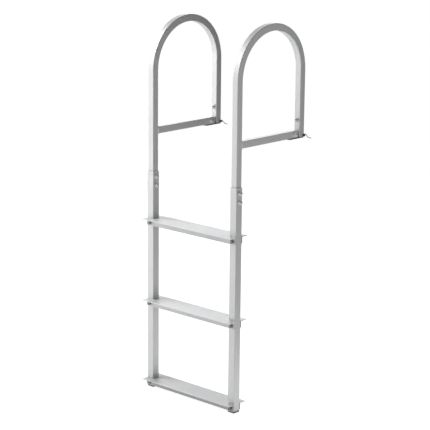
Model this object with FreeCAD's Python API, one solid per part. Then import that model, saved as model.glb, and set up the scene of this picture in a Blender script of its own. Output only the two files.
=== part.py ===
import FreeCAD, Part
import math
import os

from FreeCAD import Vector

# A three-step dock ladder in aluminium, in millimetres.
# X runs from the left rail to the right rail, Y from the water towards the dock, Z up.
# The origin is the middle of the left deck plate's underside, on the surface of the dock.

# Rails: one square tube serves for the hoops and the deck bars
RAIL_SPACING = 400.0            # centre of the left rail to centre of the right rail
RAIL_TUBE = 25.4
RAIL_WALL = 1.8
RAIL_CORNER = 2.2
HOOP_DEPTH = 360.0              # front of the front post to rear of the rear post
HOOP_HEIGHT = 416.0             # underside of the deck bar to the crown of the hoop
FRONT_BEND = 176.0              # bend over the front post, to the middle of the tube

# Lower legs: a wider tube that the hoop's front post slides into
SLEEVE_FIT = 0.3
LEG_WALL = 2.0
LEG_CORNER = 2.2
SLEEVE_DROP = 135.0             # underside of the deck bar to the mouth of the lower leg
SPLICE_BOLT_DROP = 19.0         # mouth of the lower leg to the first bolt
SPLICE_BOLT_PITCH = 32.0
SPLICE_END = 26.0               # last bolt to the end of the post inside the leg
LEG_FOOT = 30.5                 # top of the last tread to the lower end of the leg tube

# Treads
STEP_PITCH = 304.8
FIRST_TREAD_DROP = 173.0        # mouth of the lower leg to the top of the first tread
TREAD_NAMES = ("top_tread", "middle_tread", "bottom_tread")
TREAD_OVERHANG = 28.5           # tread in front of the leg and behind it
TREAD_PLATE = 3.2
TREAD_RIB_DEPTH = 26.5          # top of the tread to the lower edge of its ribs
TREAD_RIB = 3.0
TREAD_FIT = 0.2                 # ribs and notch to the leg
TREAD_BOLT_EDGE = 11.0          # bolt to the lower edge of the rib
GRIP_PITCH = 5.0
GRIP_WIDTH = 2.2
GRIP_DEPTH = 0.9

# Welded joint of deck bar and front post
BAR_END_GAP = 9.0               # end of the bar to the front of the rear post
BEAD_WIDTH = 8.0
BEAD_RISE = 1.0
BEAD_LEG = 5.0
BEAD_FULLNESS = 0.62            # how far the fillet bulges, as a share of its leg

# Foot casting that joins bar, rear post and hinge
SPIGOT_FIT = 0.3
SPIGOT_END = 15.0               # bolt to the end of its spigot
SPIGOT_CORNER = 1.0
WEB_WIDTH = 9.0
SLOT_FIT = 0.3
BAR_BOLT_INSET = 17.6           # end of the bar to its bolt
POST_BOLT_HEIGHT = 60.0         # underside of the bar to the bolt in the rear post

# Hinge
PLATE_LENGTH = 78.0             # flat part, which ends under the middle of the pin
PLATE_THICKNESS = 3.5
PLATE_CORNER = 4.0
SEAT_GAP = 0.3                  # bar and post above the deck plate
PIN_RADIUS = 3.0
PIN_HEAD_RADIUS = 5.0
PIN_HEAD = 2.4
PIN_HEAD_GAP = 0.2
PIN_EAR_FIT = 0.05
PIN_LUG_FIT = 0.08
EAR_WALL = 1.6                  # metal round the pin
EAR_WIDTH = 4.2
EAR_SIDE_FIT = 0.5              # ear to lug, sideways
EAR_TO_POST = 0.6               # ear to the notch in the post's foot
PIN_INSET = 2.5                 # pin ahead of the post's rear face
LUG_LIFT = 0.4                  # lug above the deck plate
SCREW_RADIUS = 3.2
SCREW_HEAD_RADIUS = 5.6
SCREW_HEAD_DEPTH = 2.2
SCREW_INSET = 10.0              # front end of the plate to the first screw
SCREW_PITCH = 46.0

# Cotter: a bent wire that keeps the pin in, its tail resting on the dock
COTTER_WIRE = 1.25              # radius of the wire
COTTER_FIT = 0.12               # wire in the pin's hole
COTTER_OUT = 3.3                # ear to the middle of the wire
COTTER_TAIL = 1.6               # wire to the end of the pin
COTTER_POINT = 2.2              # how far the wire stands out under the pin
COTTER_RISE = 1.9               # middle of the wire above the pin
COTTER_TOP_RUN = 5.2
COTTER_SLOPE_RUN = 14.0
COTTER_REST = 0.75              # tail above the dock
COTTER_LENGTH = 35.5            # ear to the end of the tail
COTTER_BEND = 2.6

# Bolt holes and caps
BOLT_HOLE = 4.2                 # radius of a clearance hole
CAP_FLANGE = 3.0
CAP_WALL = 2.0
CAP_FIT = 0.3
CAP_TO_BOLT = 1.2
OVERCUT = 1.0                   # how far a cut runs past what it opens

# Places worked out from the sizes
LEG_TUBE = RAIL_TUBE + 2 * (SLEEVE_FIT + LEG_WALL)
EAR_RADIUS = PIN_RADIUS + EAR_WALL
LUG_WIDTH = RAIL_TUBE - 2 * (EAR_WIDTH + EAR_SIDE_FIT)
BAR_UNDERSIDE = PLATE_THICKNESS + SEAT_GAP
BAR_MIDDLE = BAR_UNDERSIDE + RAIL_TUBE / 2
PIN_Y = PLATE_LENGTH / 2
PIN_Z = PLATE_THICKNESS + LUG_LIFT + EAR_RADIUS
REAR_FACE = PIN_Y + PIN_INSET
FRONT_FACE = REAR_FACE - HOOP_DEPTH
FRONT_POST_Y = FRONT_FACE + RAIL_TUBE / 2
REAR_POST_Y = REAR_FACE - RAIL_TUBE / 2
JOINT_Y = FRONT_FACE + RAIL_TUBE
BAR_END = REAR_FACE - RAIL_TUBE - BAR_END_GAP
CROWN_Y = FRONT_POST_Y + FRONT_BEND
CROWN_Z = BAR_UNDERSIDE + HOOP_HEIGHT - RAIL_TUBE / 2
REAR_BEND = REAR_POST_Y - CROWN_Y
SLEEVE_TOP = BAR_UNDERSIDE - SLEEVE_DROP
SPLICE_BOLTS = (SLEEVE_TOP - SPLICE_BOLT_DROP, SLEEVE_TOP - SPLICE_BOLT_DROP - SPLICE_BOLT_PITCH)
TREAD_TOPS = [SLEEVE_TOP - FIRST_TREAD_DROP - STEP_PITCH * n for n in range(len(TREAD_NAMES))]
TREAD_BOLT_DROP = TREAD_RIB_DEPTH - TREAD_BOLT_EDGE
LEG_BOTTOM = TREAD_TOPS[-1] - LEG_FOOT
CAP_PLUG = LEG_FOOT - TREAD_BOLT_DROP - BOLT_HOLE - CAP_TO_BOLT
RAILS = {"left": 0.0, "right": RAIL_SPACING}

ALONG_X = Vector(1, 0, 0)
ALONG_Y = Vector(0, 1, 0)
ALONG_Z = Vector(0, 0, 1)


def box(x, y, z):
    """A box between two corners, each axis given as (low, high)."""
    corner = Vector(x[0], y[0], z[0])
    return Part.makeBox(x[1] - x[0], y[1] - y[0], z[1] - z[0], corner)


def rod(start, direction, length, radius):
    return Part.makeCylinder(radius, length, start, direction)


def joined(shapes):
    whole = shapes[0]
    for shape in shapes[1:]:
        whole = whole.fuse(shape)
    return whole.removeSplitter()


def square_face(size, radius):
    """A square section with round corners, in the XY plane about the origin."""
    half = size / 2
    flat = half - radius
    mid = flat + radius * math.sqrt(0.5)
    edges = []
    for turn in range(4):
        side = Part.LineSegment(Vector(half, -flat, 0), Vector(half, flat, 0)).toShape()
        corner = Part.Arc(Vector(half, flat, 0), Vector(mid, mid, 0), Vector(flat, half, 0)).toShape()
        for edge in (side, corner):
            edge.rotate(Vector(), ALONG_Z, 90 * turn)
            edges.append(edge)
    return Part.Face(Part.Wire(edges))


def tube_face(size, wall, radius):
    """An extruded tube's section: round corners outside, sharp ones inside."""
    inner = size - 2 * wall
    hollow = Part.makePlane(inner, inner, Vector(-inner / 2, -inner / 2, 0))
    return square_face(size, radius).cut(hollow).Faces[0]


def upright(face, x, y, low, high):
    """A section in the XY plane carried from one height to another."""
    placed = face.copy()
    placed.translate(Vector(x, y, low))
    return placed.extrude(ALONG_Z * (high - low))


def level(face, x, z, start, end):
    """A section stood up in the XZ plane and carried along Y."""
    placed = face.copy()
    placed.rotate(Vector(), ALONG_X, -90)
    placed.translate(Vector(x, start, z))
    return placed.extrude(ALONG_Y * (end - start))


def splice_bolts(x):
    """Two holes across the sleeve joint of hoop and lower leg."""
    start = x - LEG_TUBE
    return Part.makeCompound([rod(Vector(start, FRONT_POST_Y, z), ALONG_X, 2 * LEG_TUBE, BOLT_HOLE)
                              for z in SPLICE_BOLTS])


def tread_bolts(x):
    """A hole through the ribs of each tread and the leg between them."""
    start = FRONT_POST_Y - LEG_TUBE
    return Part.makeCompound([rod(Vector(x, start, top - TREAD_BOLT_DROP), ALONG_Y, 2 * LEG_TUBE, BOLT_HOLE)
                              for top in TREAD_TOPS])


def post_bolt(x):
    start = Vector(x, REAR_POST_Y - RAIL_TUBE, BAR_UNDERSIDE + POST_BOLT_HEIGHT)
    return rod(start, ALONG_Y, 2 * RAIL_TUBE, BOLT_HOLE)


def bar_bolt(x):
    start = Vector(x - RAIL_TUBE, BAR_END - BAR_BOLT_INSET, BAR_MIDDLE)
    return rod(start, ALONG_X, 2 * RAIL_TUBE, BOLT_HOLE)


def foot_notch(x):
    """What the rear lower corner of the post's foot leaves free for the ears of the deck plate."""
    clear = EAR_RADIUS + EAR_TO_POST
    depths = (PIN_Y - clear, REAR_FACE + OVERCUT)
    return box((x - RAIL_TUBE, x + RAIL_TUBE), depths, (BAR_UNDERSIDE - OVERCUT, PIN_Z + clear))


def web_slot(x):
    """A slot in the front of the post's foot for the casting's web."""
    half = WEB_WIDTH / 2 + SLOT_FIT
    heights = (BAR_UNDERSIDE - OVERCUT, BAR_UNDERSIDE + RAIL_TUBE - RAIL_WALL)
    return box((x - half, x + half), (REAR_POST_Y - RAIL_TUBE, REAR_POST_Y), heights)


def bent_post(section, x, y, low, radius, way):
    """A post and the quarter bend over it, up to the crown."""
    spring = CROWN_Z - radius
    start = section.copy()
    start.translate(Vector(x, y, spring))
    quarter = start.revolve(Vector(x, CROWN_Y, spring), ALONG_X * way, 90)
    return [upright(section, x, y, low, spring), quarter]


def hoop(x):
    """One bent tube: front post, two quarter bends and rear post, with bolt holes and a cut foot."""
    section = tube_face(RAIL_TUBE, RAIL_WALL, RAIL_CORNER)
    front_end = SPLICE_BOLTS[-1] - SPLICE_END
    front = bent_post(section, x, FRONT_POST_Y, front_end, FRONT_BEND, -1)
    rear = bent_post(section, x, REAR_POST_Y, BAR_UNDERSIDE, REAR_BEND, 1)
    tube = joined(front + rear)
    tube = tube.cut(splice_bolts(x)).cut(post_bolt(x))
    return tube.cut(web_slot(x)).cut(foot_notch(x))


def lower_leg(x):
    """The sleeve and leg of one rail, with holes for the splice and for each tread."""
    section = tube_face(LEG_TUBE, LEG_WALL, LEG_CORNER)
    tube = upright(section, x, FRONT_POST_Y, LEG_BOTTOM, SLEEVE_TOP)
    return tube.cut(splice_bolts(x)).cut(tread_bolts(x))


def leg_cap(x):
    """Plastic cap: a flange under the leg and a hollow plug inside it."""
    flange = upright(square_face(LEG_TUBE, LEG_CORNER), x, FRONT_POST_Y, LEG_BOTTOM - CAP_FLANGE, LEG_BOTTOM)
    plug = LEG_TUBE - 2 * (LEG_WALL + CAP_FIT)
    walls = tube_face(plug, CAP_WALL, SPIGOT_CORNER)
    return joined([flange, upright(walls, x, FRONT_POST_Y, LEG_BOTTOM, LEG_BOTTOM + CAP_PLUG)])


def tread_section(x, top):
    """The tread's section in a YZ plane: a grooved plate over two ribs that clasp the legs."""
    rib_inner = LEG_TUBE / 2 + TREAD_FIT
    rib_outer = rib_inner + TREAD_RIB
    edge = LEG_TUBE / 2 + TREAD_OVERHANG
    low = top - TREAD_RIB_DEPTH
    under = top - TREAD_PLATE
    corners = [(-edge, top), (-edge, under), (-rib_outer, under), (-rib_outer, low), (-rib_inner, low),
               (-rib_inner, under), (rib_inner, under), (rib_inner, low), (rib_outer, low),
               (rib_outer, under), (edge, under), (edge, top)]
    grooves = int((2 * edge - GRIP_WIDTH) / GRIP_PITCH)
    for n in reversed(range(grooves)):
        left = (n - (grooves - 1) / 2) * GRIP_PITCH - GRIP_WIDTH / 2
        right = left + GRIP_WIDTH
        corners += [(right, top), (right, top - GRIP_DEPTH), (left, top - GRIP_DEPTH), (left, top)]
    points = [Vector(x, FRONT_POST_Y + y, z) for y, z in corners]
    return Part.Face(Part.makePolygon(points + points[:1]))


def tread(top):
    """One extruded tread, cut open at both ends so that the legs pass through its plate."""
    left = RAILS["left"] - LEG_TUBE / 2
    right = RAILS["right"] + LEG_TUBE / 2
    plank = tread_section(left, top).extrude(ALONG_X * (right - left))
    notch = LEG_TUBE + TREAD_FIT
    half = LEG_TUBE / 2 + TREAD_FIT
    sides = (FRONT_POST_Y - half, FRONT_POST_Y + half)
    heights = (top - TREAD_PLATE - OVERCUT, top + OVERCUT)
    plank = plank.cut(box((left - OVERCUT, left + notch), sides, heights))
    plank = plank.cut(box((right - notch, right + OVERCUT), sides, heights))
    for x in RAILS.values():
        start = Vector(x, FRONT_POST_Y - LEG_TUBE, top - TREAD_BOLT_DROP)
        plank = plank.cut(rod(start, ALONG_Y, 2 * LEG_TUBE, BOLT_HOLE))
    return plank


def deck_bar(x):
    """The level bar that lies along the dock, open at its rear end."""
    section = tube_face(RAIL_TUBE, RAIL_WALL, RAIL_CORNER)
    return level(section, x, BAR_MIDDLE, JOINT_Y, BAR_END).cut(bar_bolt(x))


def side_bead(flank, rise):
    """A low bead over the flush side of the welded joint, between the tubes' round corners."""
    low = BAR_UNDERSIDE + RAIL_CORNER
    half = BEAD_WIDTH / 2
    front = Vector(flank, JOINT_Y - half, low)
    back = Vector(flank, JOINT_Y + half, low)
    arc = Part.Arc(front, Vector(flank + rise, JOINT_Y, low), back).toShape()
    chord = Part.LineSegment(back, front).toShape()
    return Part.Face(Part.Wire([arc, chord])).extrude(ALONG_Z * (RAIL_TUBE - 2 * RAIL_CORNER))


def fillet_bead(x, height, way):
    """A fillet between the post and the top or the underside of the bar."""
    inner = Vector(x - RAIL_TUBE / 2 + RAIL_CORNER, JOINT_Y, height)
    on_post = inner + way * BEAD_LEG
    on_bar = inner + ALONG_Y * BEAD_LEG
    bulge = inner + (ALONG_Y + way) * BEAD_LEG * BEAD_FULLNESS
    arc = Part.Arc(on_post, bulge, on_bar).toShape()
    sides = [Part.LineSegment(on_bar, inner).toShape(), Part.LineSegment(inner, on_post).toShape()]
    return Part.Face(Part.Wire([arc] + sides)).extrude(ALONG_X * (RAIL_TUBE - 2 * RAIL_CORNER))


def bar_weld(x):
    """The four beads round the front end of the bar."""
    return Part.makeCompound([
        side_bead(x - RAIL_TUBE / 2, -BEAD_RISE),
        side_bead(x + RAIL_TUBE / 2, BEAD_RISE),
        fillet_bead(x, BAR_UNDERSIDE + RAIL_TUBE, ALONG_Z),
        fillet_bead(x, BAR_UNDERSIDE, -ALONG_Z),
    ])


def foot_casting(x):
    """Corner casting: a spigot up the rear post, one along the bar, a web between and the hinge lug."""
    spigot = RAIL_TUBE - 2 * (RAIL_WALL + SPIGOT_FIT)
    section = square_face(spigot, SPIGOT_CORNER)
    up = upright(section, x, REAR_POST_Y, BAR_UNDERSIDE, BAR_UNDERSIDE + POST_BOLT_HEIGHT + SPIGOT_END)
    along = level(section, x, BAR_MIDDLE, BAR_END - BAR_BOLT_INSET - SPIGOT_END, BAR_END)
    heights = (BAR_MIDDLE - spigot / 2, BAR_MIDDLE + spigot / 2)
    web = box((x - WEB_WIDTH / 2, x + WEB_WIDTH / 2), (BAR_END - SPIGOT_END, REAR_POST_Y), heights)
    sides = (x - LUG_WIDTH / 2, x + LUG_WIDTH / 2)
    lug = box(sides, (REAR_POST_Y, PIN_Y), (PIN_Z - EAR_RADIUS, PIN_Z + EAR_RADIUS))
    nose = rod(Vector(sides[0], PIN_Y, PIN_Z), ALONG_X, LUG_WIDTH, EAR_RADIUS)
    bore_start = Vector(sides[0] - OVERCUT, PIN_Y, PIN_Z)
    bore = rod(bore_start, ALONG_X, LUG_WIDTH + 2 * OVERCUT, PIN_RADIUS + PIN_LUG_FIT)
    spigots = joined([up, along, web]).cut(foot_notch(x))
    whole = joined([spigots, lug, nose])
    return whole.cut(bore).cut(post_bolt(x)).cut(bar_bolt(x))


def deck_plate(x):
    """The plate screwed to the dock, with two ears at its rear end for the hinge pin."""
    half = RAIL_TUBE / 2
    front = -PLATE_LENGTH / 2
    plate = box((x - half, x + half), (front, -front), (0, PLATE_THICKNESS))
    corners = [edge for edge in plate.Edges
               if abs(edge.BoundBox.YMax - front) < 0.01 and edge.BoundBox.ZLength > 1]
    pieces = [plate.makeFillet(PLATE_CORNER, corners)]
    for side in (x - half, x + half - EAR_WIDTH):
        pieces.append(box((side, side + EAR_WIDTH), (PIN_Y - EAR_RADIUS, PIN_Y), (0, PIN_Z)))
        pieces.append(rod(Vector(side, PIN_Y, PIN_Z), ALONG_X, EAR_WIDTH, EAR_RADIUS))
    whole = joined(pieces)
    bore_start = Vector(x - RAIL_TUBE, PIN_Y, PIN_Z)
    whole = whole.cut(rod(bore_start, ALONG_X, 2 * RAIL_TUBE, PIN_RADIUS + PIN_EAR_FIT))
    for place in (front + SCREW_INSET, front + SCREW_INSET + SCREW_PITCH):
        shank = rod(Vector(x, place, -OVERCUT), ALONG_Z, PLATE_THICKNESS + 2 * OVERCUT, SCREW_RADIUS)
        low = Vector(x, place, PLATE_THICKNESS - SCREW_HEAD_DEPTH)
        sink = Part.makeCone(SCREW_RADIUS, SCREW_HEAD_RADIUS, SCREW_HEAD_DEPTH, low, ALONG_Z)
        whole = whole.cut(shank).cut(sink)
    return whole


def hinge_pin(x):
    """A headed pin, drilled upright through its tail for the cotter."""
    start = x - RAIL_TUBE / 2 - PIN_HEAD_GAP
    end = x + RAIL_TUBE / 2 + COTTER_OUT + COTTER_WIRE + COTTER_TAIL
    shank = rod(Vector(start, PIN_Y, PIN_Z), ALONG_X, end - start, PIN_RADIUS)
    head = rod(Vector(start - PIN_HEAD, PIN_Y, PIN_Z), ALONG_X, PIN_HEAD, PIN_HEAD_RADIUS)
    below = Vector(x + RAIL_TUBE / 2 + COTTER_OUT, PIN_Y, PIN_Z - 2 * PIN_RADIUS)
    hole = rod(below, ALONG_Z, 4 * PIN_RADIUS, COTTER_WIRE + COTTER_FIT)
    return joined([shank, head]).cut(hole)


def rounded_path(points, radius):
    """A wire through the points with tangent arcs at the corners, tighter where a run is short."""
    edges = []
    here = points[0]
    for before, corner, after in zip(points, points[1:], points[2:]):
        towards = (before - corner).normalize()
        onwards = (after - corner).normalize()
        half = towards.getAngle(onwards) / 2
        room = 0.48 * min((before - corner).Length, (after - corner).Length)
        cut_back = min(radius / math.tan(half), room)
        bend = cut_back * math.tan(half)
        start = corner + towards * cut_back
        end = corner + onwards * cut_back
        inward = (towards + onwards).normalize()
        top = corner + inward * (bend / math.sin(half) - bend)
        edges.append(Part.LineSegment(here, start).toShape())
        edges.append(Part.Arc(start, top, end).toShape())
        here = end
    edges.append(Part.LineSegment(here, points[-1]).toShape())
    return Part.Wire(edges)


def cotter(x):
    """A bent wire: down through the pin, and from its top outwards and down to the dock."""
    ear = x + RAIL_TUBE / 2
    top = PIN_Z + PIN_RADIUS + COTTER_RISE
    rest = COTTER_REST + COTTER_WIRE
    outwards = COTTER_OUT + COTTER_TOP_RUN
    shape = [(COTTER_OUT, PIN_Z - PIN_RADIUS - COTTER_POINT), (COTTER_OUT, top), (outwards, top),
             (outwards + COTTER_SLOPE_RUN, rest), (COTTER_LENGTH, rest)]
    points = [Vector(ear + out, PIN_Y, height) for out, height in shape]
    circle = Part.Wire(Part.Circle(points[0], ALONG_Z, COTTER_WIRE).toShape())
    return rounded_path(points, COTTER_BEND).makePipeShell([circle], True, False)


def main():
    os.makedirs("parts", exist_ok=True)
    nodes = {}
    for side, x in RAILS.items():
        nodes[side + "_hoop"] = hoop(x)
        nodes[side + "_lower_leg"] = lower_leg(x)
        nodes[side + "_leg_cap"] = leg_cap(x)
        nodes[side + "_deck_bar"] = deck_bar(x)
        nodes[side + "_bar_weld"] = bar_weld(x)
        nodes[side + "_foot_casting"] = foot_casting(x)
        nodes[side + "_deck_plate"] = deck_plate(x)
        nodes[side + "_hinge_pin"] = hinge_pin(x)
        nodes[side + "_cotter"] = cotter(x)
    for name, top in zip(TREAD_NAMES, TREAD_TOPS):
        nodes[name] = tread(top)
    for name, shape in nodes.items():
        shape.exportStep("parts/" + name + ".step")
        print(name, len(shape.Solids), "solids", round(shape.Volume), "mm3", shape.isValid())


main()
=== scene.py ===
# %% [markdown]
# # A dock ladder with bent handrails
# The ladder hangs over the edge of a dock. Its tubes, treads, hinge feet and caps come from the CAD model
# as finished shapes. What is missing is what a workshop adds last: bolts with real threads, lock nuts,
# washers and rippled weld beads. After those, each metal gets its own finish, and then come the studio
# and the camera.

# %% Load the ladder
import math

import bpy
from mathutils import Matrix, Vector


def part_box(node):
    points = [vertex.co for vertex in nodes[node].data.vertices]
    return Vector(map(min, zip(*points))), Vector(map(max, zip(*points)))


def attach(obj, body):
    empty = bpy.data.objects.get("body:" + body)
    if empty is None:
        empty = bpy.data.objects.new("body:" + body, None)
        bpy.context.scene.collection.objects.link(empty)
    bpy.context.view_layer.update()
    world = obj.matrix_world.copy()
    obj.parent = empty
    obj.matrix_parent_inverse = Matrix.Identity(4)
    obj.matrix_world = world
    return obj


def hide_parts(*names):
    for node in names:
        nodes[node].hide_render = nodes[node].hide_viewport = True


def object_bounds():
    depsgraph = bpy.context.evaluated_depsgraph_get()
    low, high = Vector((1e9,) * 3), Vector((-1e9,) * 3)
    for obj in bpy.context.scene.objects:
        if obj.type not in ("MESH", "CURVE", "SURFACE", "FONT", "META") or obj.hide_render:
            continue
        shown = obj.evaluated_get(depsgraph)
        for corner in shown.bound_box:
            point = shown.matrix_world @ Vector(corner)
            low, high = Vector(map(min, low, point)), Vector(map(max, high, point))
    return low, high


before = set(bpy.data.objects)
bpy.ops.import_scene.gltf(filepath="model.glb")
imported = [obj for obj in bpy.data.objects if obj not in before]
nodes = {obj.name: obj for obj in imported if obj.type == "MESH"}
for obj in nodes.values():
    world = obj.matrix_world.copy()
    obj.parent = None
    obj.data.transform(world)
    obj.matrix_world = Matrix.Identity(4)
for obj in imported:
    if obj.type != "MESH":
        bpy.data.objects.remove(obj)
cad_box = [list(corner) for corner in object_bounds()]
print("pieces from the CAD model:", len(nodes))

# %% [markdown]
# Blender counts in metres, but bolts are bought in millimetres, so sizes are written in millimetres and
# multiplied by MM. The places are not typed in: they are read from the boxes of the pieces, so a bolt
# stays in its hole if the ladder changes.

# %% Places read from the pieces
MM = 0.001
X, Y, Z = 0, 1, 2
SIDES = ("left", "right")
TREADS = ("top_tread", "middle_tread", "bottom_tread")
SPLICE_DROPS = (19.0, 51.0)      # from the mouth of the lower leg to each splice bolt
TREAD_BOLT_DROP = 15.5           # from the top of a tread to its bolts
TREAD_RIB = 3.2                  # rib and its fit, outside the leg
BAR_BOLT_INSET = 17.6            # from the rear end of the deck bar to its bolt
POST_BOLT_HEIGHT = 60.0          # from the underside of the deck bar to the bolt in the rear post
FRONT_BEND = 176.0               # radius of the hoop's front bend, to the middle of the tube


def low(node, axis):
    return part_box(node)[0][axis]


def high(node, axis):
    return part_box(node)[1][axis]


def middle(node, axis):
    return (low(node, axis) + high(node, axis)) / 2


RAIL_X = {side: middle(side + "_hoop", X) for side in SIDES}
RAIL_WIDTH = high("left_hoop", X) - low("left_hoop", X)
LEG_WIDTH = high("left_lower_leg", X) - low("left_lower_leg", X)
POST_Y = middle("left_lower_leg", Y)
REAR_FACE = high("left_hoop", Y)
JOINT_Y = low("left_deck_bar", Y)
BAR_LOW = low("left_deck_bar", Z)
BAR_TOP = high("left_deck_bar", Z)
SLEEVE_TOP = high("left_lower_leg", Z)
CROWN_Y = low("left_hoop", Y) + RAIL_WIDTH / 2 + FRONT_BEND * MM
CROWN_Z = high("left_hoop", Z) - RAIL_WIDTH / 2
REAR_BEND = (REAR_FACE - RAIL_WIDTH / 2 - CROWN_Y) / MM
print("tube %.1f mm, lower leg %.1f mm" % (RAIL_WIDTH / MM, LEG_WIDTH / MM))

# %% [markdown]
# Every bolt is M8. Its parts are all round or six-sided about one axis, so they are modelled standing on
# Z, where that is easy, and turned into place afterwards. A turned part is made as on a lathe, but by
# hand: a disc is extruded and scaled from ring to ring. The Spin operator would also do it, but a list of
# rings is easier to read against a drawing. The operators of bpy.ops act on what is selected, so each
# step selects first.

# %% A lathe made from extrude and scale
ROUND = 40                       # sides of a round part
SAME_POINT = 0.001               # mm between two points that become one


def fresh_start():
    """Nothing is selected, so the next operator acts on the new piece alone."""
    bpy.ops.object.select_all(action="DESELECT")


def added(name):
    """The piece that the last operator made, under its new name."""
    bpy.context.object.name = name
    return bpy.context.object


def merge_doubles():
    bpy.ops.mesh.select_all(action="SELECT")
    bpy.ops.mesh.remove_doubles(threshold=SAME_POINT * MM)


def face_outwards():
    """Turns all normals outwards and leaves edit mode."""
    bpy.ops.mesh.select_all(action="SELECT")
    bpy.ops.mesh.normals_make_consistent(inside=False)
    bpy.ops.object.mode_set(mode="OBJECT")


def turned(name, rings, hollow=False):
    """A round part from (radius, height) rings in mm. The rings of a hollow one come back to the first."""
    radius, height = rings[0]
    fresh_start()
    bpy.ops.mesh.primitive_circle_add(vertices=ROUND, radius=radius * MM,
                                      fill_type="NOTHING" if hollow else "NGON")
    piece = added(name)
    bpy.ops.object.mode_set(mode="EDIT")
    bpy.ops.mesh.select_all(action="SELECT")
    bpy.ops.transform.translate(value=(0, 0, height * MM))
    for next_radius, next_height in rings[1:]:
        step = {"value": (0, 0, (next_height - height) * MM)}
        bpy.ops.mesh.extrude_region_move(TRANSFORM_OT_translate=step)
        scale = next_radius / radius
        bpy.ops.transform.resize(value=(scale, scale, 1), center_override=(0, 0, 0))
        radius, height = next_radius, next_height
    merge_doubles()
    face_outwards()
    return piece


print("sides of a round part:", ROUND)

# %% [markdown]
# A hexagon's corners are chamfered in a lathe, which leaves a curved edge on each flat. That curve comes
# by itself when the hexagon is intersected with a turned cone, and beveling the edges would not give it.
# The Boolean modifier is applied at once, because the next step needs its result as a real mesh.

# %% Hexagons with turned corners
HEX_ACROSS = 13.0                # across the flats of an M8 head or nut
CORNER = HEX_ACROSS / math.sqrt(3)
CONE_ROOM = 0.2                  # how far the cone stays outside the corners along the middle
CONE_PAST = 0.01                 # how far it goes past the ends
TURNED_FACE = 0.97               # radius of a turned face, as a share of half the width across flats
CHAMFER = 0.65                   # height of the turned corners


def pick(pieces):
    """Selects the pieces and nothing else, with the first one active."""
    fresh_start()
    for piece in pieces:
        piece.select_set(True)
    bpy.context.view_layer.objects.active = pieces[0]


def apply_modifier(piece, kind, **settings):
    pick([piece])
    modifier = piece.modifiers.new(kind, kind)
    for key, value in settings.items():
        setattr(modifier, key, value)
    bpy.ops.object.modifier_apply(modifier=modifier.name)


def keep_inside(piece, tool):
    """Keeps what lies inside the tool, and throws the tool away."""
    apply_modifier(piece, "BOOLEAN", operation="INTERSECT", solver="EXACT", object=tool)
    bpy.data.objects.remove(tool)


def hexagon(name, bottom, top, turned_ends):
    """A six-sided block from bottom to top in mm, with its corners turned off at the named ends."""
    fresh_start()
    bpy.ops.mesh.primitive_cylinder_add(vertices=6, radius=CORNER * MM, depth=(top - bottom) * MM,
                                        location=(0, 0, (bottom + top) / 2 * MM))
    piece = added(name)
    bpy.ops.object.transform_apply()
    face = HEX_ACROSS / 2 * TURNED_FACE
    wide = CORNER + CONE_ROOM
    rings = [(face if "bottom" in turned_ends else wide, bottom - CONE_PAST),
             (wide, bottom + CHAMFER), (wide, top - CHAMFER),
             (face if "top" in turned_ends else wide, top + CONE_PAST)]
    keep_inside(piece, turned("cone", rings))
    return piece


print("a hexagon over its corners: %.1f mm" % (2 * CORNER))

# %% [markdown]
# A screw thread is one groove that climbs. A V-shaped profile of a single pitch is carried round by the
# Screw modifier, which lifts it by a pitch on each turn. The two ragged ends are then cut off square with
# Bisect, which also closes them. A spiral could be drawn point by point, but the modifier keeps every
# turn alike.

# %% A helical thread
THREAD = 4.0                     # outer radius of an M8 thread
PITCH = 1.25
THREAD_DEPTH = 0.75
THREAD_STEPS = 24                # steps in one turn


def choose(piece, wanted):
    """Selects the vertices, in edit mode, whose place passes the test."""
    bpy.ops.mesh.select_mode(type="VERT")
    bpy.ops.mesh.select_all(action="DESELECT")
    bpy.ops.object.mode_set(mode="OBJECT")
    for vertex in piece.data.vertices:
        vertex.select = wanted(vertex.co)
    bpy.ops.object.mode_set(mode="EDIT")


def cut_square(height, keep_above):
    """Cuts everything off on one side of a level plane and closes the cut."""
    bpy.ops.mesh.select_all(action="SELECT")
    bpy.ops.mesh.bisect(plane_co=(0, 0, height * MM), plane_no=(0, 0, 1), use_fill=True,
                        clear_inner=keep_above, clear_outer=not keep_above)


def thread(name, bottom, top):
    """A right-hand thread about Z, from bottom to top in mm."""
    turns = math.ceil((top - bottom) / PITCH) + 3
    fresh_start()
    start = ((THREAD - THREAD_DEPTH / 2) * MM, 0, (bottom - PITCH) * MM)
    bpy.ops.mesh.primitive_plane_add(size=PITCH * MM, rotation=(math.pi / 2, 0, 0), location=start)
    piece = added(name)
    bpy.ops.object.transform_apply()
    bpy.ops.object.mode_set(mode="EDIT")
    bpy.ops.mesh.delete(type="ONLY_FACE")
    bpy.ops.mesh.select_all(action="SELECT")
    bpy.ops.transform.resize(value=(THREAD_DEPTH / PITCH, 1, 1), center_override=start)
    choose(piece, lambda place: place.x > start[0])
    bpy.ops.mesh.merge(type="CENTER")
    choose(piece, lambda place: place.x < start[0])
    bpy.ops.mesh.select_mode(type="EDGE")
    bpy.ops.mesh.delete(type="EDGE")
    bpy.ops.object.mode_set(mode="OBJECT")
    apply_modifier(piece, "SCREW", axis="Z", screw_offset=PITCH * MM, iterations=turns,
                   steps=THREAD_STEPS, render_steps=THREAD_STEPS)
    bpy.ops.object.mode_set(mode="EDIT")
    merge_doubles()
    cut_square(bottom, keep_above=True)
    cut_square(top, keep_above=False)
    face_outwards()
    return piece


print("thread: M%.0f, a turn every %.2f mm" % (2 * THREAD, PITCH))

# %% [markdown]
# All heads are hexagons. On the rails they stand on wide washers. The bolts of the treads and of the rear
# posts have no washer under the head, so that toes and the dock clear them, and a small one under the
# nut. The nuts are lock nuts: a hexagon with a rolled collar that holds a nylon ring, so that the
# ladder's shaking can't undo them. Each bolt stands with the underside of its head at height 0 and its
# shank upwards.

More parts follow.
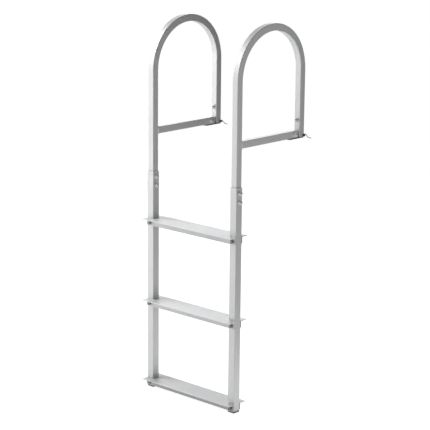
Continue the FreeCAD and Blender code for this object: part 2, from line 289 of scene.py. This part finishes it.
# %% The parts of a bolt
HEX_HEIGHT = 5.3
WIDE_WASHER = 8.0                # outer radius
SMALL_WASHER = 7.0
WASHER = 1.6                     # its thickness
WASHER_EDGE = 0.2
WASHER_ROOM = 0.2                # between the thread and the washer
LOCK_NUT = 6.2                   # height of its hexagon
COLLAR = 1.8                     # height of the rolled collar on that
SHANK_SLACK = 0.05               # how much thinner the plain shank is than the thread
HIDDEN = 0.5                     # how far a part reaches into its neighbour
THREAD_HIDDEN = 1.5

# Each profile is a ring of (radius, height). The collar's heights count from the top of the hexagon, the
# nylon ring's from the top of the collar, and the tip's from the end of the bolt.
COLLAR_PROFILE = ((4.4, -0.5), (6.1, -0.5), (6.1, 1.2), (5.75, 1.7), (5.3, 1.8), (4.95, 1.6), (4.9, 1.2),
                  (4.4, -0.5))
NYLON_PROFILE = ((3.7, -1.2), (4.9, -1.2), (4.9, -0.55), (4.6, -0.35), (3.95, -0.35), (3.7, -0.55),
                 (3.7, -1.2))
TIP_PROFILE = ((THREAD - 0.1, -0.6), (THREAD - 0.15, -0.5), (THREAD - THREAD_DEPTH, 0.0))


def lifted(profile, height):
    return [(radius, height + step) for radius, step in profile]


def washer(bottom, outer):
    inner, top = THREAD + WASHER_ROOM, bottom + WASHER
    rings = [(inner, bottom), (outer - WASHER_EDGE, bottom), (outer, bottom + WASHER_EDGE),
             (outer, top - WASHER_EDGE), (outer - WASHER_EDGE, top), (inner, top), (inner, bottom)]
    return turned("washer", rings, hollow=True)


def hex_head(washers):
    """A hexagon head below height 0, on a washer where it has one."""
    if not washers:
        return [hexagon("head", -HEX_HEIGHT, 0.0, ("bottom",))]
    return [washer(-WASHER, WIDE_WASHER), hexagon("head", -WASHER - HEX_HEIGHT, -WASHER, ("bottom",))]


def shank(grip):
    return turned("shank", [(THREAD - SHANK_SLACK, -HIDDEN), (THREAD - SHANK_SLACK, grip)])


def bolt_end(start, out):
    """The thread beyond the nut, with a chamfered tip."""
    end = start + out
    return [thread("thread", start - THREAD_HIDDEN, end - HIDDEN), turned("tip", lifted(TIP_PROFILE, end))]


def lock_nut(grip, washer_radius):
    """The steel parts of a lock nut on its washer, and the height of its top."""
    base = grip + WASHER
    top = base + LOCK_NUT
    collar = turned("collar", lifted(COLLAR_PROFILE, top), hollow=True)
    nut = hexagon("nut", base, top, ("bottom", "top"))
    return [washer(grip, washer_radius), nut, collar], top + COLLAR


print("washer and lock nut: %.1f mm high" % (WASHER + LOCK_NUT + COLLAR))

# %% [markdown]
# The parts of one bolt are joined into one piece. Joining keeps them as closed shells that overlap, as
# the real thread and nut do. Only the nylon ring stays apart, because it is another material. The four
# kinds differ in what they clamp, in their washers and in how far the end stands out, so each kind is
# modelled once and copied to its places.

# %% Four kinds of bolt
SMOOTH_BELOW = math.radians(32)


def joined(pieces, name):
    """Makes one piece of several, smooth where its faces meet at less than SMOOTH_BELOW."""
    pick(pieces)
    if len(pieces) > 1:
        bpy.ops.object.join()
    bpy.ops.object.shade_smooth_by_angle(angle=SMOOTH_BELOW)
    return added(name)


def bolt_kind(name, grip, out, washers=True):
    """A bolt and its nylon ring, for grip mm of metal, with out mm of thread past the nut."""
    nut, top = lock_nut(grip, WIDE_WASHER if washers else SMALL_WASHER)
    whole = joined(hex_head(washers) + [shank(grip)] + nut + bolt_end(top, out), name)
    ring = turned("nylon", lifted(NYLON_PROFILE, top), hollow=True)
    return whole, joined([ring], name + "_nylon")


SPLICE_BOLT = bolt_kind("splice_bolt", LEG_WIDTH / MM, out=3.6)
BAR_BOLT = bolt_kind("bar_bolt", RAIL_WIDTH / MM, out=3.6)
TREAD_BOLT = bolt_kind("tread_bolt", LEG_WIDTH / MM + 2 * TREAD_RIB, out=1.4, washers=False)
POST_BOLT = bolt_kind("post_bolt", RAIL_WIDTH / MM, out=4.4, washers=False)
KINDS = (SPLICE_BOLT, BAR_BOLT, TREAD_BOLT, POST_BOLT)
for whole, ring in KINDS:
    print(whole.name, "faces:", len(whole.data.polygons))

# %% [markdown]
# A copy is turned so that its shank points the right way, moved to the hole, and then its place is
# applied: the object itself ends at the origin, as the CAD pieces do, and the patterns on its material
# stay put.

# %% Put the bolts in their holes
bolts = []
shaded_tread_bolts = []                   # those of the treads, painted dark with the shade under the treads
nylon_rings = []


def place(master, name, point, towards):
    """Copies a master piece so that its Z axis points the given way from the given point."""
    pick([master])
    bpy.ops.object.duplicate()
    copy = added(name)
    copy.rotation_euler = Vector(towards).to_track_quat("Z", "Y").to_euler()
    copy.location = point
    bpy.ops.object.transform_apply(location=True, rotation=True, scale=True)
    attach(copy, "ladder")
    return copy


def fit(kind, name, point, towards):
    """Puts one bolt and its nylon ring in a hole. The point is where the underside of the head lies."""
    whole, ring = kind
    copy = place(whole, name, point, towards)
    (shaded_tread_bolts if kind is TREAD_BOLT else bolts).append(copy)
    inside = place(ring, name + "_nylon", point, towards)
    nylon_rings.append(inside)


bar_middle = (BAR_LOW + BAR_TOP) / 2
for side in SIDES:
    x = RAIL_X[side]
    inner = 1 if side == "left" else -1
    for number, drop in enumerate(SPLICE_DROPS, 1):
        point = (x + inner * LEG_WIDTH / 2, POST_Y, SLEEVE_TOP - drop * MM)
        fit(SPLICE_BOLT, "%s_splice_bolt_%d" % (side, number), point, (-inner, 0, 0))
    for tread in TREADS:
        point = (x, POST_Y - LEG_WIDTH / 2 - TREAD_RIB * MM, high(tread, Z) - TREAD_BOLT_DROP * MM)
        fit(TREAD_BOLT, "%s_%s_bolt" % (side, tread), point, (0, 1, 0))
    bar_end = high(side + "_deck_bar", Y)
    point = (x + inner * RAIL_WIDTH / 2, bar_end - BAR_BOLT_INSET * MM, bar_middle)
    fit(BAR_BOLT, side + "_bar_bolt", point, (-inner, 0, 0))
    point = (x, REAR_FACE, BAR_LOW + POST_BOLT_HEIGHT * MM)
    fit(POST_BOLT, side + "_post_bolt", point, (0, -1, 0))

for whole, ring in KINDS:
    bpy.data.objects.remove(whole)
    bpy.data.objects.remove(ring)
print("bolts:", len(bolts) + len(shaded_tread_bolts), "nylon rings:", len(nylon_rings))

# %% [markdown]
# A hand-laid weld is a row of overlapping puddles, each frozen a little after the one before. So each
# bead is a row of flattened balls that Voxel Remesh melts into one skin. Boolean then cuts away what
# would lie inside the tubes. A smooth strip with a bump map would look right only from far away.

# %% One bead from a row of balls
BALL_SEGMENTS = 20
BALL_RINGS = 12
VOXEL = 0.42                     # mm, fine enough to keep the ripples
SMOOTHINGS = 2
BLOCK = 60.0                     # half the block that a bead is cut with


def puddle(place, radii, tilt, axis):
    fresh_start()
    bpy.ops.mesh.primitive_uv_sphere_add(segments=BALL_SEGMENTS, ring_count=BALL_RINGS, radius=MM,
                                         location=place)
    ball = added("puddle")
    ball.scale = radii
    ball.rotation_euler[axis] = tilt
    return ball


def keep_beyond(bead, middle, axis, height, way):
    """Keeps what lies beyond a height on one axis and leaves a closed skin. The way is 1 or -1."""
    place = list(middle)
    place[axis] = height + way * BLOCK * MM
    fresh_start()
    bpy.ops.mesh.primitive_cube_add(size=2 * BLOCK * MM, location=place)
    keep_inside(bead, added("block"))


def melted(balls, cuts):
    """Joins the balls into one skin and keeps what lies beyond every (axis, height, way) cut."""
    middle = sum((ball.location for ball in balls), Vector()) / len(balls)
    pick(balls)
    bpy.ops.object.join()
    bpy.ops.object.transform_apply(location=True, rotation=True, scale=True)
    bead = added("bead")
    apply_modifier(bead, "REMESH", mode="VOXEL", voxel_size=VOXEL * MM)
    apply_modifier(bead, "SMOOTH", iterations=SMOOTHINGS)
    for axis, height, way in cuts:
        keep_beyond(bead, middle, axis, height, way)
    return bead


print("voxel: %.2f mm" % VOXEL)

# %% [markdown]
# Four beads join the front end of each bar to its post. Two lie in the corners over and under the bar,
# where a bead is a fillet. The other two lie on the sides, where bar and post are flush and a bead stands
# up as a low ridge. Each puddle is a little wider or narrower than the last and leans, as a hand would
# leave it.

# %% Four beads round each bar
PUDDLE_STEP = 1.9                # how far the welder moves between puddles
PUDDLE_HALF = 2.3                # half a puddle, along the bead
BEAD_CORNER = 2.4                # the tube's round corner, where a bead ends
BEAD_END = 2.0                   # how much shorter the row of middles is than the bead
FILLET_RADIUS = 4.9
FILLET_TILT = 0.32               # radians by which a puddle leans
FILLET_WAVE = 2.4                # radians from puddle to puddle in the swelling of the bead
RIDGE_RISE = 2.4
RIDGE_HALF_WIDTH = 3.9
RIDGE_TILT = 0.25
RIDGE_WAVE = 1.9
SWELL = 0.07                     # how much a puddle is wider or narrower, as a share
SUNK = 0.2                       # how deep a bead reaches into the tube


def weld(side):
    """The four beads round the front end of one deck bar."""
    x = RAIL_X[side]
    run = RAIL_WIDTH - 2 * BEAD_CORNER * MM
    count = round(run / (PUDDLE_STEP * MM))
    steps = [(n / (count - 1) - 0.5) * (run - BEAD_END * MM) for n in range(count)]
    sunk = SUNK * MM
    beads = []
    for height, up in ((BAR_TOP, 1), (BAR_LOW, -1)):
        balls = []
        for n, step in enumerate(steps):
            radius = FILLET_RADIUS * (1 + SWELL * math.sin(FILLET_WAVE * n + up))
            point = (x + step, JOINT_Y, height)
            balls.append(puddle(point, (PUDDLE_HALF, radius, radius), FILLET_TILT, Z))
        beads.append(melted(balls, [(Y, JOINT_Y - sunk, 1), (Z, height - up * sunk, up)]))
    for face in (-1, 1):
        flank = x + face * RAIL_WIDTH / 2
        balls = []
        for n, step in enumerate(steps):
            half_width = RIDGE_HALF_WIDTH * (1 + SWELL * math.sin(RIDGE_WAVE * n + face))
            point = (flank, JOINT_Y, bar_middle + step)
            balls.append(puddle(point, (RIDGE_RISE, half_width, PUDDLE_HALF), RIDGE_TILT, X))
        beads.append(melted(balls, [(X, flank - face * sunk, face)]))
    whole = joined(beads, side + "_rippled_weld")
    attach(whole, "ladder")
    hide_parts(side + "_bar_weld")
    return whole


welds = [weld(side) for side in SIDES]
print("weld faces:", [len(piece.data.polygons) for piece in welds])

# %% [markdown]
# Materials are node graphs, and all of these read Object coordinates. One helper adds a node and fills
# its sockets, so that a finish reads as a few lines. Distances are turned into millimetres at once,
# because the scale of a scratch is easier to judge that way. The graphs could be clicked together, but
# written ones can share their parts.

# %% Helpers for node graphs
NOISE_RANGE = (0.3, 0.7)         # where most of a noise lies


def node(tree, kind, inputs=(), **settings):
    """Adds a shader node. A value that is a socket is linked, and any other value is set."""
    made = tree.nodes.new("ShaderNode" + kind)
    for key, value in settings.items():
        setattr(made, key, value)
    for socket, value in dict(inputs).items():
        if isinstance(value, bpy.types.NodeSocket):
            tree.links.new(value, made.inputs[socket])
        else:
            made.inputs[socket].default_value = value
    return made


def math_node(tree, operation, *values):
    return node(tree, "Math", dict(enumerate(values)), operation=operation).outputs[0]


def scaled(tree, vector, factor):
    return node(tree, "VectorMath", {0: vector, "Scale": factor}, operation="SCALE").outputs[0]


def place_in_mm(tree):
    """Object coordinates in millimetres, as one vector."""
    return scaled(tree, node(tree, "TexCoord").outputs["Object"], 1 / MM)


def millimetres(tree):
    """The same as three sockets."""
    return node(tree, "SeparateXYZ", {0: place_in_mm(tree)}).outputs


def combine(tree, x, y, z):
    return node(tree, "CombineXYZ", {0: x, 1: y, 2: z}).outputs[0]


def noise(tree, vector, scale, detail=2.0, roughness=0.5):
    inputs = {"Vector": vector, "Scale": scale, "Detail": detail, "Roughness": roughness}
    return node(tree, "TexNoise", inputs).outputs["Fac"]


def ramp(tree, value, start, end, at_start=0.0, at_end=1.0):
    """Goes from one value to the other between start and end, and stays level outside."""
    inputs = {"Value": value, "From Min": start, "From Max": end, "To Min": at_start, "To Max": at_end}
    return node(tree, "MapRange", inputs).outputs[0]


def spread(tree, value, lowest, highest):
    """Maps a noise onto a range."""
    return ramp(tree, value, *NOISE_RANGE, lowest, highest)


print("noise is taken to lie from %.1f to %.1f" % NOISE_RANGE)

# %% [markdown]
# Extruded and drawn aluminium has fine lines along its length. The lines are a noise that is stretched
# along the piece: it changes every half millimetre across and hardly at all along. For a straight tube
# that is a matter of axes. For the hoop, how far a point lies outside the middle of the bend takes the
# place of one coordinate, so the lines follow the tube over its crown, where the wider front bend meets
# the tighter rear one.

# %% Which way the lines run
ALONG = 0.004                    # how little the pattern changes along a piece


def lines_along(axis):
    """Returns a function that gives a node tree its places in mm, squeezed along the axis."""
    factors = [ALONG if other == axis else 1.0 for other in (X, Y, Z)]

    def squeezed(tree):
        inputs = {0: place_in_mm(tree), 1: factors}
        return node(tree, "VectorMath", inputs, operation="MULTIPLY").outputs[0]

    return squeezed


def lines_round_hoop(tree):
    """The same for a hoop: the distance outside the middle of its bend stands for one coordinate."""
    x, y, z = millimetres(tree)
    across = math_node(tree, "SUBTRACT", y, CROWN_Y / MM)
    behind = math_node(tree, "GREATER_THAN", across, 0.0)
    change = math_node(tree, "MULTIPLY", behind, REAR_BEND - FRONT_BEND)
    radius = math_node(tree, "ADD", change, FRONT_BEND)
    over_spring = math_node(tree, "ADD", math_node(tree, "SUBTRACT", z, CROWN_Z / MM), radius)
    above = math_node(tree, "MAXIMUM", over_spring, 0.0)
    squares = math_node(tree, "ADD", math_node(tree, "POWER", across, 2.0),
                        math_node(tree, "POWER", above, 2.0))
    outside = math_node(tree, "SUBTRACT", math_node(tree, "SQRT", squares), radius)
    return combine(tree, x, outside, math_node(tree, "MULTIPLY", z, ALONG))


print("hoop: bends of %.1f mm in front and %.1f mm behind" % (FRONT_BEND, REAR_BEND))

# %% [markdown]
# Shade is painted into the aluminium as darker bands: on the ribs under each tread, where the plate above
# shades them, on the ends of the legs below the bottom tread, and in a thin line where the hoop enters the
# leg. Just below that line, the edge of the leg gets a painted highlight. An image could hold such marks,
# but all of them lie level, so each is a band between two heights, with a tone that says how much light
# it gives back.

# %% Bands of painted shade and highlight
BAND_EDGE = 0.8                  # mm over which a band begins or ends


def band(tree, lower, upper, tone):
    """Returns 1 outside two heights in mm and the tone between them, with soft edges."""
    z = millimetres(tree)[Z]
    half = BAND_EDGE / 2
    above = ramp(tree, z, lower - half, lower + half)
    below = ramp(tree, z, upper + half, upper - half)
    inside = math_node(tree, "MULTIPLY", below, above)
    return math_node(tree, "ADD", math_node(tree, "MULTIPLY", inside, tone - 1.0), 1.0)


print("edge of a band: %.1f mm" % BAND_EDGE)

# %% [markdown]
# Satin aluminium is a metal through and through, so Metallic is 1 and the colour is the colour of its
# reflection. What makes it satin is roughness, and what makes it real is that nothing on it is quite
# even. The drawn lines and faint cloudy marks from handling change its roughness and its colour a little,
# and a few wider stripes from the die change its colour.

# %% Satin aluminium
FINE_LINES = 1.9                 # how often each pattern changes in a millimetre
DIE_STRIPES = 0.23
CLOUDS = 0.021
LINE_TONE = 0.012                # how far each one changes the colour, both ways
STRIPE_TONE = 0.014
CLOUD_TONE = 0.015
LINE_ROUGHNESS = 0.035           # how far they change the roughness
CLOUD_ROUGHNESS = (-0.03, 0.045)
LINE_BUMP = 0.6


def new_finish(name, metallic):
    """A new material, with its own shader set to metal or not, and its node tree."""
    material = bpy.data.materials.new(name)
    material.use_nodes = True
    material.node_tree.nodes["Principled BSDF"].inputs["Metallic"].default_value = metallic
    return material, material.node_tree


def link_finish(tree, colour, tone, roughness, heights, strength, depth):
    """Links the shader to a colour times a tone, a roughness and a bump that is depth mm deep."""
    shader = tree.nodes["Principled BSDF"]
    bump = node(tree, "Bump", {"Strength": strength, "Distance": depth * MM, "Height": heights})
    tree.links.new(scaled(tree, colour, tone), shader.inputs["Base Color"])
    tree.links.new(roughness, shader.inputs["Roughness"])
    tree.links.new(bump.outputs[0], shader.inputs["Normal"])


def aluminium(name, colour, roughness, direction, line_depth, bands=()):
    material, tree = new_finish(name, 1.0)
    stretched = direction(tree)
    lines = noise(tree, stretched, FINE_LINES, detail=3.0, roughness=0.6)
    stripes = noise(tree, stretched, DIE_STRIPES, detail=1.0)
    clouds = noise(tree, place_in_mm(tree), CLOUDS, detail=3.0, roughness=0.55)
    shade = math_node(tree, "ADD", spread(tree, lines, -LINE_TONE, LINE_TONE),
                      spread(tree, stripes, -STRIPE_TONE, STRIPE_TONE))
    tone = math_node(tree, "ADD", shade, spread(tree, clouds, 1 - CLOUD_TONE, 1 + CLOUD_TONE))
    for lower, upper, share in bands:
        tone = math_node(tree, "MULTIPLY", tone, band(tree, lower, upper, share))
    uneven = math_node(tree, "ADD", spread(tree, lines, -LINE_ROUGHNESS, LINE_ROUGHNESS),
                       spread(tree, clouds, *CLOUD_ROUGHNESS))
    rough = math_node(tree, "ADD", uneven, roughness)
    link_finish(tree, colour, tone, rough, lines, LINE_BUMP, line_depth)
    return material


print("drawn lines: %.1f in a millimetre" % FINE_LINES)

# %% [markdown]
# Hoops, bars and legs are drawn tube, and differ in which way their lines run and in their bands. The
# treads are extruded and a little brighter and rougher, with deeper lines. Their ribs, under the plate's
# overhang, are painted darker as shade, the more so the lower the tread, and the bottom one's plate is
# painted darker as well.

# %% Paint the tubes and treads
RAIL_COLOUR = (0.80, 0.805, 0.81)
TREAD_COLOUR = (0.88, 0.885, 0.89)
RAIL_ROUGH = 0.56
LEG_ROUGH = 0.57
TREAD_ROUGH = 0.60
TUBE_LINES = 0.012               # depth of the lines
TREAD_LINES = 0.02
SHADE_LINE_HEIGHT = 4.5                # of the line of painted shade on the hoop, above the mouth of the leg
SHADE_LINE_TONE = 0.80
SHEEN_HEIGHT = 4.0             # of the painted highlight on the leg's edge, below its mouth
PAINTED_SHEEN_TONE = 1.08
LEG_END_SHADE = 0.45              # painted shade on the leg's end, below the ribs of the bottom tread
RIB_DEPTH = 26.5                 # from the top of a tread to the lower edge of its ribs
PLATE = 3.4                      # thickness of a tread's plate and a little more
PAST = 1.0                       # how far a band goes past the end of its piece
FAR_DOWN = -2000.0

# The painted shade of each tread: the tone of its ribs, under the plate, and of its plate, darker towards
# the bottom.
TREAD_SHADE_TONES = {"top_tread": (0.78, 1.0), "middle_tread": (0.80, 1.0), "bottom_tread": (0.58, 0.91)}


def paint(pieces, material):
    for piece in pieces:
        piece.data.materials.clear()
        piece.data.materials.append(material)


def both(part):
    return [nodes[side + "_" + part] for side in SIDES]


mouth = SLEEVE_TOP / MM
lowest_rib = high("bottom_tread", Z) / MM - RIB_DEPTH
hoop_bands = [(mouth, mouth + SHADE_LINE_HEIGHT, SHADE_LINE_TONE)]
leg_bands = [(mouth - SHEEN_HEIGHT, mouth + PAST, PAINTED_SHEEN_TONE), (FAR_DOWN, lowest_rib, LEG_END_SHADE)]
hoop_satin = aluminium("hoop_satin", RAIL_COLOUR, RAIL_ROUGH, lines_round_hoop, TUBE_LINES, hoop_bands)
bar_satin = aluminium("bar_satin", RAIL_COLOUR, RAIL_ROUGH, lines_along(Y), TUBE_LINES)
leg_satin = aluminium("leg_satin", RAIL_COLOUR, LEG_ROUGH, lines_along(Z), TUBE_LINES, leg_bands)
for part, finish in (("hoop", hoop_satin), ("deck_bar", bar_satin), ("lower_leg", leg_satin)):
    paint(both(part), finish)
for tread, (rib_shade, plate_shade) in TREAD_SHADE_TONES.items():
    top = high(tread, Z) / MM
    tread_bands = [(FAR_DOWN, top - PLATE, rib_shade), (top - PLATE, top + PAST, plate_shade)]
    mill = aluminium(tread + "_mill", TREAD_COLOUR, TREAD_ROUGH, lines_along(X), TREAD_LINES, tread_bands)
    paint([nodes[tread]], mill)
print("materials so far:", len(bpy.data.materials))

# %% [markdown]
# The cast foot, the weld and the steel parts aren't drawn, so they have no lines but an even grain. On a
# casting it is the fine pimples of its mould. The weld is new metal and brighter than the tube. The pins
# and cotters are dark, and the deck plates are dark partly as steel and partly as painted shade in the
# groove under each bar. The bolts are smooth enough for sharp highlights. Those of the treads are painted
# dark with the shade under the treads, and their roughness is more uneven than the others'.

# %% Cast, welded and steel finishes
STAINS = 0.09                    # how often the stains change in a millimetre
STAIN_TONE = (0.93, 1.05)
GRAIN_BUMP = 0.7


def plain_metal(name, colour, roughness, grain, height, uneven=0.05):
    """A metal with so many grains in a millimetre, and their height in mm."""
    material, tree = new_finish(name, 1.0)
    grains = noise(tree, place_in_mm(tree), grain, detail=3.0, roughness=0.6)
    stains = noise(tree, place_in_mm(tree), STAINS, detail=4.0, roughness=0.6)
    rough = math_node(tree, "ADD", spread(tree, stains, -uneven, uneven), roughness)
    link_finish(tree, colour, spread(tree, stains, *STAIN_TONE), rough, grains, GRAIN_BUMP, height)
    return material


paint(both("foot_casting"), plain_metal("cast_foot", RAIL_COLOUR, 0.50, grain=1.6, height=0.05))
paint(welds, plain_metal("weld_bead", (0.92, 0.92, 0.92), 0.40, grain=2.5, height=0.02))
# The deck plates' dark colour is partly their steel and partly painted shade in the groove under each bar.
paint(both("deck_plate"), plain_metal("plate_painted_shade", (0.20, 0.203, 0.207), 0.48, grain=3.0, height=0.02))
paint(both("hinge_pin"), plain_metal("turned_pin", (0.12, 0.12, 0.123), 0.36, grain=4.0, height=0.008))
paint(both("cotter"), plain_metal("cotter_wire", (0.035, 0.035, 0.037), 0.36, grain=3.0, height=0.006))
# The tread bolts' dark colour is painted shade from the tread above them.
paint(shaded_tread_bolts, plain_metal("shaded_tread_steel", (0.22, 0.22, 0.225), 0.24, grain=3.5, height=0.006))
clean_steel = plain_metal("stainless_bolt", (0.92, 0.92, 0.925), 0.24, grain=3.5, height=0.004, uneven=0.03)
paint(bolts, clean_steel)
print("materials so far:", len(bpy.data.materials))

# %% [markdown]
# Plastic isn't a metal: its colour is its own and its reflection is weak and white. The leg caps are
# black and moulded with a fine matt grain, and the ring in a lock nut is milky nylon.

# %% Plastics
MOULD_GRAIN = 2.6                # how often grain and scuffs change in a millimetre
SCUFFS = 0.16
SCUFF_TONE = (0.85, 1.25)
SCUFF_ROUGHNESS = 0.08
MOULD_BUMP = 0.8


def plastic(name, colour, roughness, height):
    """A plastic with a moulded grain and its height in mm."""
    material, tree = new_finish(name, 0.0)
    grains = noise(tree, place_in_mm(tree), MOULD_GRAIN)
    scuffs = noise(tree, place_in_mm(tree), SCUFFS, detail=4.0, roughness=0.65)
    rough = spread(tree, scuffs, roughness - SCUFF_ROUGHNESS, roughness + SCUFF_ROUGHNESS)
    link_finish(tree, colour, spread(tree, scuffs, *SCUFF_TONE), rough, grains, MOULD_BUMP, height)
    return material


paint(both("leg_cap"), plastic("black_cap", (0.022, 0.022, 0.024), 0.5, height=0.04))
paint(nylon_rings, plastic("milky_nylon", (0.62, 0.64, 0.66), 0.42, height=0.01))
print("materials so far:", len(bpy.data.materials))

# %% [markdown]
# The studio is a white floor under white air. To the camera the floor shines by itself, so that it comes
# out white and still keeps the ladder's soft shadow. Metal shows its shape only where what it reflects
# changes. So the floor also glows by itself where the metal reflects it, a painted reflection: bright on
# the left and in front of the ladder, fading to dark on the right and behind it. A brighter strip of that
# glow on that side lights the shaded sides of the legs.

# %% Floor
FLOOR_GAP = 0.2 * MM
FLOOR_SIZE = 60.0
FLOOR_GLOW = 0.86                # to the camera
FLOOR_COLOUR = (0.6, 0.6, 0.6, 1)
FLOOR_BRIGHT = 0.51              # to a reflection, up to the diagonal through the origin
FLOOR_FADE = 1.2                 # metres beyond that diagonal where this light ends
STRIP_BRIGHT = 0.50              # the strip adds this along its middle
STRIP_AWAY = 0.45                # metres from the diagonal to the middle of the strip
STRIP_REACH = 0.45               # metres from there to its edges
WHITE = (1, 1, 1, 1)


def emptied(owner):
    """The node tree of a material or world, with nothing in it."""
    owner.use_nodes = True
    owner.node_tree.nodes.clear()
    return owner.node_tree


def seen(tree, rays):
    """Returns 1 for what the camera sees, directly or through something clear."""
    return math_node(tree, "MAXIMUM", rays["Is Camera Ray"], rays["Is Transmission Ray"])


fresh_start()
bpy.ops.mesh.primitive_plane_add(size=FLOOR_SIZE, location=(0, 0, cad_box[0][Z] - FLOOR_GAP))
floor = added("studio_floor")
floor_paint = bpy.data.materials.new("studio_floor")
tree = emptied(floor_paint)
rays = node(tree, "LightPath").outputs
spot = node(tree, "SeparateXYZ", {0: node(tree, "TexCoord").outputs["Object"]}).outputs
# Painted reflection: a glow that only reflections see, fading across the floor, with a brighter strip.
beyond = math_node(tree, "MULTIPLY", math_node(tree, "ADD", spot[X], spot[Y]), math.sqrt(0.5))
from_strip = math_node(tree, "ABSOLUTE", math_node(tree, "SUBTRACT", beyond, STRIP_AWAY))
mirrored = math_node(tree, "ADD", ramp(tree, beyond, 0.0, FLOOR_FADE, FLOOR_BRIGHT, 0.0),
                     ramp(tree, from_strip, 0.0, STRIP_REACH, STRIP_BRIGHT, 0.0))
glow = math_node(tree, "ADD", math_node(tree, "MULTIPLY", seen(tree, rays), FLOOR_GLOW),
                 math_node(tree, "MULTIPLY", rays["Is Glossy Ray"], mirrored))
shining = node(tree, "Emission", {"Color": WHITE, "Strength": glow}).outputs[0]
dull = node(tree, "BsdfDiffuse", {"Color": FLOOR_COLOUR}).outputs[0]
node(tree, "OutputMaterial", {"Surface": node(tree, "AddShader", {0: shining, 1: dull}).outputs[0]})
floor.data.materials.append(floor_paint)
print("floor at %.1f mm" % (floor.location.z / MM))

# %% [markdown]
# The air is white to the camera as well. To the metal it is bright on the left, dimmer overhead and dark
# on the right, as beside a large soft window. An image of a room would do the same, but two numbers are
# easier to set.

# %% Air
AIR_LEFT = 0.71
AIR_OVERHEAD = 0.19

world = bpy.data.worlds.new("studio_air")
bpy.context.scene.world = world
tree = emptied(world)
rays = node(tree, "LightPath").outputs
towards = node(tree, "SeparateXYZ", {0: node(tree, "TexCoord").outputs["Generated"]}).outputs
from_left = math_node(tree, "MAXIMUM", math_node(tree, "MULTIPLY", towards[X], -AIR_LEFT), 0.0)
from_above = math_node(tree, "MAXIMUM", math_node(tree, "MULTIPLY", towards[Z], AIR_OVERHEAD), 0.0)
level = math_node(tree, "ADD", from_left, from_above)
lit_air = node(tree, "Background", {"Color": WHITE, "Strength": level}).outputs[0]
white_air = node(tree, "Background", {"Color": WHITE, "Strength": 1.0}).outputs[0]
air = node(tree, "MixShader", {0: seen(tree, rays), 1: lit_air, 2: white_air}).outputs[0]
node(tree, "OutputWorld", {"Surface": air})
print("air: %.2f from the left, %.2f from above" % (AIR_LEFT, AIR_OVERHEAD))

# %% [markdown]
# A tall soft lamp stands on the left, in front of the ladder, and a second one hangs over it. They are
# near, so the left rail gets more of them than the right one and its faces differ more. A large one
# behind on the left lights the tops of the treads. Three weak ones on the right keep the shaded sides
# from going black. One of those is tall and narrow and stands close to the right rail, so it lights that
# rail much more than the left one.

# %% Lamps
CENTRE = Vector([(a + b) / 2 for a, b in zip(*cad_box)])


def soft_lamp(name, offset, width, height, power):
    """An oblong lamp, in metres and watts, at an offset from the middle of the ladder and aimed at it."""
    fresh_start()
    bpy.ops.object.light_add(type="AREA", location=CENTRE + Vector(offset))
    lamp = added(name)
    lamp.data.shape = "RECTANGLE"
    lamp.data.size = width
    lamp.data.size_y = height
    lamp.data.energy = power
    lamp.rotation_euler = (-Vector(offset)).to_track_quat("-Z", "Y").to_euler()


soft_lamp("left_lamp", (-1.5, -1.1, 0.05), 0.8, 1.9, 6.0)
soft_lamp("upper_left_lamp", (-1.2, -0.7, 1.2), 0.8, 0.8, 10.0)
soft_lamp("back_left_lamp", (-1.8, 2.0, 1.2), 1.6, 1.6, 16.0)
soft_lamp("right_lamp", (1.5, 0.1, 0.3), 0.8, 0.8, 2.2)
soft_lamp("low_right_lamp", (0.9, 0.9, -0.5), 0.4, 0.4, 0.27)
soft_lamp("near_right_lamp", (0.65, 0.38, 0.15), 0.25, 1.4, 0.38)

# %% [markdown]
# The camera stands where the photographer's did: 42 degrees round to the right and thirteen and a half
# up, about five and a half metres away with a long lens, and turned by half a degree. Three unit vectors
# say how it is held, and they become the columns of its matrix.

# %% Camera
CAMERA_PLACE = (3.8440, -4.2134, 1.0217)
CAMERA_ROUND = math.radians(42.188)
CAMERA_UP = math.radians(13.503)
CAMERA_ROLL = math.radians(0.562)
FOCAL_PIXELS = 1552.1            # focal length in pixels of the photograph
IMAGE_PIXELS = 430               # its width
SENSOR = 36.0

backwards = Vector((math.sin(CAMERA_ROUND) * math.cos(CAMERA_UP),
                    -math.cos(CAMERA_ROUND) * math.cos(CAMERA_UP), math.sin(CAMERA_UP)))
level_right = Vector((math.cos(CAMERA_ROUND), math.sin(CAMERA_ROUND), 0))
level_up = backwards.cross(level_right)
right = level_right * math.cos(CAMERA_ROLL) + level_up * math.sin(CAMERA_ROLL)
upwards = level_up * math.cos(CAMERA_ROLL) - level_right * math.sin(CAMERA_ROLL)
held = Matrix((right, upwards, backwards)).transposed().to_4x4()
bpy.ops.object.camera_add()
camera = added("photo_camera")
camera.matrix_world = Matrix.Translation(CAMERA_PLACE) @ held
camera.data.sensor_width = SENSOR
camera.data.lens = SENSOR * FOCAL_PIXELS / IMAGE_PIXELS
bpy.context.scene.camera = camera
bpy.context.scene.view_settings.view_transform = "Standard"
print("lens %.1f mm" % camera.data.lens)

# %% Update the scene
bpy.context.view_layer.update()
